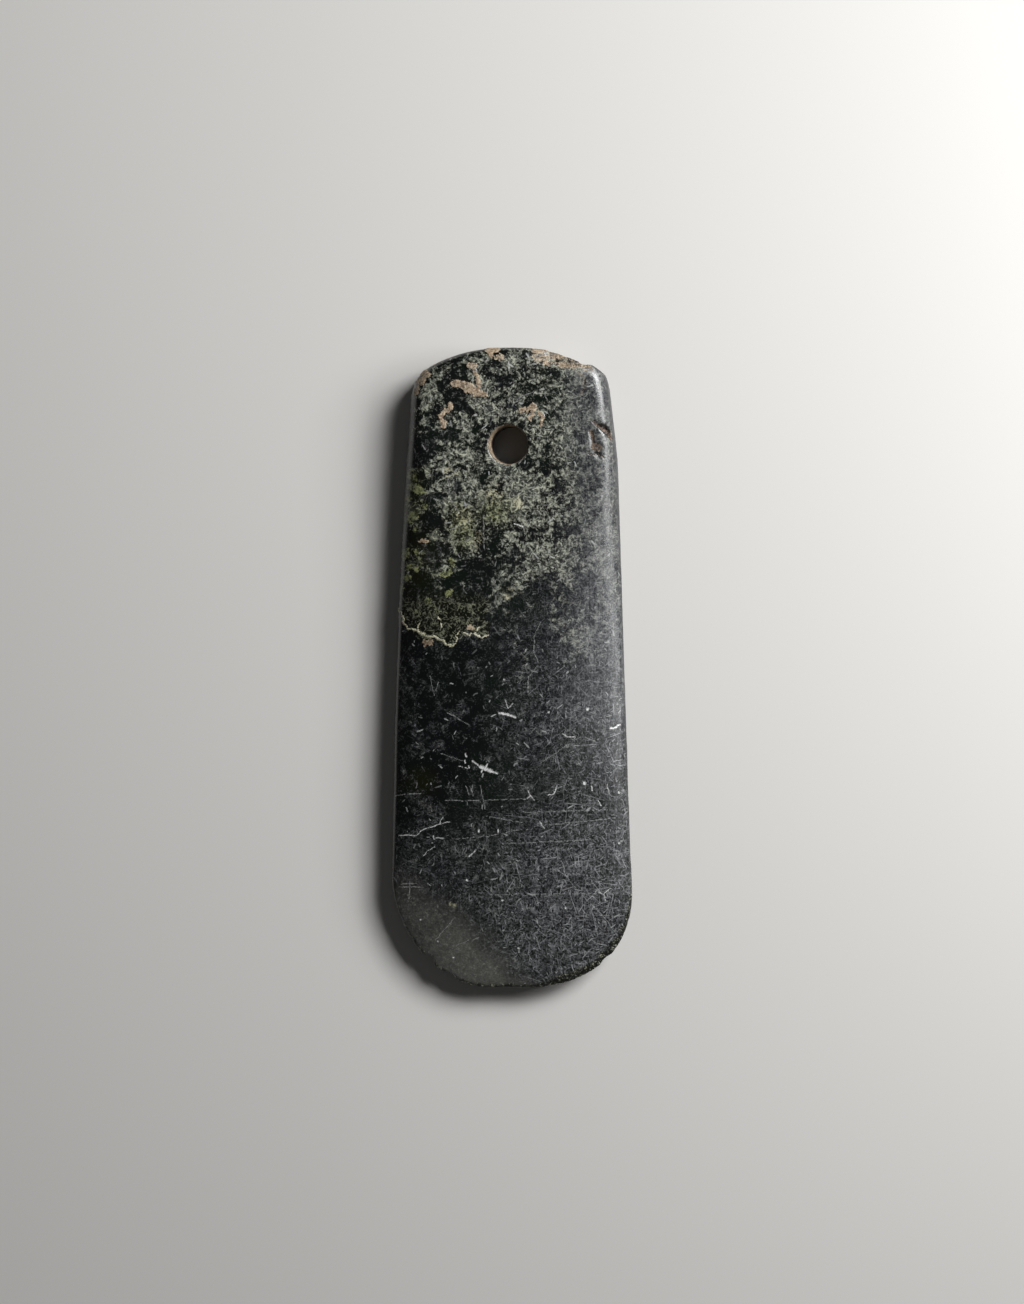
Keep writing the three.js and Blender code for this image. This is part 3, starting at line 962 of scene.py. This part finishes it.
def patina_cover(finish, grain):
    """Where the weathered skin lies. It gives way to the bare stone in blotches."""
    bias = finish.painted("weathered") * 1.10 + finish.painted("pale") * 0.45
    bias = bias + finish.painted("polished") * 0.2 - finish.painted("black") * 0.95 - 0.76
    cover = bias + (grain.blotch - 0.5) * 1.0 + (grain.mottle - 0.5) * 0.75
    return finish.ramp(cover + (grain.fleck - 0.5) * 0.65, -0.10, 0.75)


def add_patina(finish, grain, colour):
    """The felted grey-green skin, with yellowish flecks, and painted sheen on the polished right side.
    """
    olive = finish.painted("olive")
    dark = finish.mix(olive, PATINA_DARK, OLIVE_PATINA_DARK)
    light = finish.mix(olive, PATINA_LIGHT, OLIVE_PATINA_LIGHT)
    colour = finish.mix(grain.cover * 0.95, colour, finish.mix(grain.fibre, dark, light))
    yellowed = finish.clamp(finish.painted("yellow") * (grain.fibre * 2.2 - 0.1)) * 0.38
    colour = finish.mix(yellowed, colour, YELLOW_FLECKS)
    # Painted sheen: a grained grey on the polished right side, standing in for the highlight it
    # reflects.
    sheen = grain.mottle * 0.3 + grain.fleck * 0.35 + grain.dust * 0.4
    sheen = finish.clamp(sheen + grain.striae_down * 0.3 + grain.felt * 0.35 - 0.40)
    painted_sheen = finish.mix(sheen, PAINTED_SHEEN_DARK, PAINTED_SHEEN_LIGHT)
    return finish.mix(finish.painted("polished") * 0.68, colour, painted_sheen)


def fine_scratches(finish, grain):
    """The web of fine scratches that the lower half is hazed with."""
    scratches = finish.most(
        *all_strokes(finish, grain.bent, SHORT_WEAR),
        *all_strokes(finish, grain.place, LONG_WEAR),
        tangle(finish, grain.place, size=1.3, width=0.22, seed=17) * (grain.fleck * 0.40),
        tangle(finish, grain.place, size=2.2, width=0.24, seed=18) * (grain.mottle * 0.40),
    )
    return scratches * (0.35 + grain.dust * 0.40 + grain.mottle * 0.40) * finish.painted("level")


def add_wear(finish, grain, colour):
    """The haze of fine wear with its painted sheen, and the smooth place at the left of the cutting
    edge.
    """
    haze_and_sheen = finish.painted("haze_and_sheen")
    scratches = fine_scratches(finish, grain)
    clumps = finish.ramp(grain.blotch * 0.6 + grain.mottle * 0.4, 0.45, 0.75)
    wear = finish.clamp(haze_and_sheen * 0.80 + clumps * 0.28 - 0.03) * grain.clear * (1 - grain.cover * 0.6)
    # a grey haze: haze of wear, and on the right painted sheen where it rises towards the lit side
    haze = grain.fleck * 0.32 + grain.mottle * 0.08 + grain.dust * 0.44
    haze = haze + grain.striae_down * 0.30 + grain.striae_over * 0.20 - 0.60
    haze = finish.clamp(haze * haze_and_sheen * 1.4) * grain.clear * (1 - grain.cover * 0.5)
    colour = finish.mix(haze * 0.50, colour, HAZE_AND_SHEEN_GREY)
    colour = finish.mix(finish.clamp(scratches * wear), colour, FINE_SCRATCH)
    # The smooth part's own tone, made lighter where its painted light lies near the thin cutting edge.
    tone = grain.mottle * 0.15 + grain.dust * 0.28 + grain.fleck * 0.30
    tone = finish.mix(tone + finish.painted("calm_painted_light") * 0.30 - 0.06, CALM_DARK, CALM_LIGHT)
    specks = finish.ramp(grain.dust * 0.6 + grain.fleck * 0.4, 0.80, 1.0)
    tone = finish.mix(specks * 0.6, tone, CALM_DUST)
    return finish.mix(finish.painted("calm") * 0.88, colour, tone)


def add_marks(finish, grain, colour):
    """Short bright nicks here and there, and the scratches, gouges and spots placed one by one."""
    nicks = finish.most(*all_strokes(finish, grain.bent, NICKS))
    flat = finish.painted("upper") * finish.painted("level")
    colour = finish.mix(nicks * flat * grain.clear * 0.75, colour, NICK)
    broken = 0.25 + grain.fleck * 0.5 + grain.dust * 0.7
    return finish.mix(finish.clamp(finish.painted("mark") * broken), colour, DEEP_SCRATCH)


def ragged_mask(finish, grain, name, low, high, amount=1.0):
    """What is painted under a name, with its edge broken up by the grain of the stone."""
    painted = finish.painted(name)
    return finish.ramp(painted + grain.rugged * amount, low, high) * finish.ramp(painted, 0.02, 0.25)


def add_chips_and_skin(finish, grain, colour):
    """The chips of the cutting edge, the yellow-green islets, light stains and the skin's tone."""
    fresh = finish.ramp(grain.fleck * 0.5 + grain.dust * 0.5, 0.62, 0.95)
    fresh = finish.mix(fresh, FRESH_DARK, FRESH_LIGHT)
    colour = finish.mix(ragged_mask(finish, grain, "chipped", 0.20, 0.60) * 0.9, colour, fresh)
    islets = ragged_mask(finish, grain, "green", 0.30, 0.60) * (0.15 + grain.fibre * 1.1)
    colour = finish.mix(finish.clamp(islets), colour, YELLOW_GREEN)
    stain = finish.clamp(finish.painted("light_stain") * (0.2 + grain.fibre * 1.5))
    colour = finish.mix(stain, colour, LIGHT_STAIN)
    skin = finish.clamp(grain.fibre * 1.5 + grain.mottle * 0.3 - 0.35)
    skin = finish.mix(skin, SKIN_DARK, SKIN_LIGHT)
    return finish.mix(finish.painted("skin") * 0.85, colour, skin)


def soil_cover(finish, grain):
    """Where tan earth lies: crust, the scar, the butt's rim, stains and the mouth of the bore."""
    steps = finish.ramp(grain.striae_over * 0.6 + grain.fleck * 0.4, 0.30, 0.62)
    return finish.most(
        ragged_mask(finish, grain, "crust", 0.34, 0.54),
        ragged_mask(finish, grain, "scar", 0.20, 0.60) * (0.10 + steps * 0.80),
        ragged_mask(finish, grain, "butt_rim", 0.45, 0.95) * (0.35 + grain.mottle * 0.5),
        ragged_mask(finish, grain, "skin_stain", 0.30, 0.60) * 0.85,
        finish.painted("bore") * 0.9,
        finish.painted("stain_line") * (0.15 + grain.fibre * 0.6),
    )


def make_jadeite():
    """Black-green polished stone, felted grey-green where weathered, hazed by fine scratches."""
    finish = Finish("jadeite")
    grain = make_patterns(finish)
    fibre = grain.mottle * 0.28 + grain.fleck * 0.38 + grain.dust * 0.30
    grain.fibre = finish.clamp(fibre + grain.felt * 1.05 - 0.50)
    rugged = (grain.fleck - 0.5) * 0.60 + (grain.mottle - 0.5) * 0.45
    grain.rugged = rugged + (grain.dust - 0.5) * 0.40
    grain.cover = patina_cover(finish, grain)
    grain.clear = 1 - finish.painted("calm") * 0.92

    colour = bare_stone(finish, grain)
    colour = add_patina(finish, grain, colour)
    colour = add_wear(finish, grain, colour)
    colour = add_marks(finish, grain, colour)
    colour = add_chips_and_skin(finish, grain, colour)

    # shadow round the crust, the skin's cream rim, and earth on top
    grit = finish.clamp(grain.dust * 0.8 + grain.fleck * 0.9 - 0.45)
    shadow = ragged_mask(finish, grain, "crust", 0.06, 0.30)
    colour = finish.mix(shadow * 0.75, colour, CRUST_SHADOW)
    rim = ragged_mask(finish, grain, "skin_rim", 0.30, 0.62, 1.3)
    colour = finish.mix(rim * 0.9, colour, finish.mix(grit, CREAM_DARK, CREAM_LIGHT))
    soil = soil_cover(finish, grain)
    earth = finish.mix(grain.mottle * 0.40, finish.mix(grit, EARTH_DARK, EARTH_LIGHT), EARTH_RED)
    colour = finish.mix(soil, colour, earth)
    pit = ragged_mask(finish, grain, "pit", 0.25, 0.60, 0.6)
    colour = finish.mix(pit * 0.9, colour, finish.mix(grit, PIT_DARK, PIT_LIGHT))
    colour = finish.mix(finish.painted("bore_dark"), colour, BORE_SHADOW)

    # sheen and relief
    weathered = finish.painted("weathered")
    worn_bevel = weathered * (1 - finish.painted("level")) * 0.09
    roughness = 0.21 + grain.cover * 0.20 + worn_bevel + finish.painted("haze_and_sheen") * grain.clear * 0.13
    roughness = roughness + finish.most(soil, rim, pit) * 0.42 + finish.painted("calm") * 0.10
    height = (grain.fleck * 0.6 + grain.dust * 0.5) * weathered
    relief = {"Strength": 0.35, "Distance": 0.05 * MM, "Height": height}
    finish.feed(finish.shader.inputs["Base Color"], colour)
    finish.feed(finish.shader.inputs["Roughness"], finish.clamp(roughness))
    finish.feed(finish.shader.inputs["Normal"], finish.add("ShaderNodeBump", None, relief))
    finish.shader.inputs["IOR"].default_value = JADEITE_IOR
    return finish.material


def make_floor_paint():
    finish = Finish("pale_floor")
    finish.shader.inputs["Base Color"].default_value = rgba(PALE_FLOOR)
    finish.shader.inputs["Roughness"].default_value = 0.9
    finish.shader.inputs["Specular IOR Level"].default_value = 0.2
    return finish.material


# ---------------------------------------------------------------- studio

FLOOR_SIZE = 6.0  # metres
FLOOR_GAP = 0.00005  # metres between the stone and the floor
# The view: its height, and how far towards the butt its middle lies, in lengths of the head
VIEW_HEIGHT = 2.0376
VIEW_SHIFT = 0.0253
CAMERA_HEIGHT = 1.1  # metres above the floor
SENSOR_WIDTH = 36.0  # millimetres


def add_floor():
    bpy.ops.object.select_all(action="DESELECT")
    bpy.ops.mesh.primitive_plane_add(size=FLOOR_SIZE, location=(0, 0, LOW[2] * MM - FLOOR_GAP))
    floor = bpy.context.active_object
    floor.name = "floor"
    floor.data.materials.append(make_floor_paint())


def add_softbox(name, place, target, size, power):
    """An area light at one place, in metres, that faces another."""
    lamp = bpy.data.lights.new(name, "AREA")
    lamp.shape = "RECTANGLE"
    lamp.size, lamp.size_y = size
    lamp.energy = power
    box = bpy.data.objects.new(name, lamp)
    box.location = place
    box.rotation_euler = (Vector(place) - Vector(target)).to_track_quat("Z", "Y").to_euler()
    bpy.context.scene.collection.objects.link(box)


def add_camera():
    """Looks straight down on the head, with room round it."""
    view_height = VIEW_HEIGHT * LENGTH * MM
    camera = bpy.data.cameras.new("camera")
    camera.sensor_width = SENSOR_WIDTH
    camera.lens = camera.sensor_width * (CAMERA_HEIGHT - MIDDLE[2] * MM) / view_height
    eye = bpy.data.objects.new("camera", camera)
    eye.location = (0.0, VIEW_SHIFT * LENGTH * MM, CAMERA_HEIGHT)
    bpy.context.scene.collection.objects.link(eye)
    bpy.context.scene.camera = eye


def add_light():
    add_softbox("key", place=(0.56, 0.47, 0.61), target=(0, 0, 0), size=(0.42, 0.42), power=9.5)
    # a strip beside the butt, which the right flank reflects down to the middle of the head
    strip = {"place": (0.42, 0.14, 0.27), "target": (0, 0.14, 0)}
    add_softbox("side_strip", **strip, size=(0.24, 0.19), power=1.3)
    add_softbox("fill", place=(-0.70, -1.05, 0.60), target=(0, 0, 0), size=(1.2, 1.2), power=0.8)
    world = bpy.data.worlds.new("studio")
    world.use_nodes = True
    world.node_tree.nodes["Background"].inputs["Color"].default_value = rgba(STUDIO_GREY)
    bpy.context.scene.world = world
    bpy.context.scene.view_settings.view_transform = "Standard"


stone = refine_stone()
weather_stone(stone)
paint_stone(stone)
select_only(stone)
bpy.ops.object.shade_smooth()
stone.data.materials.clear()
stone.data.materials.append(make_jadeite())
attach(stone, "root")
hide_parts("axe_head")

add_floor()
add_light()
add_camera()
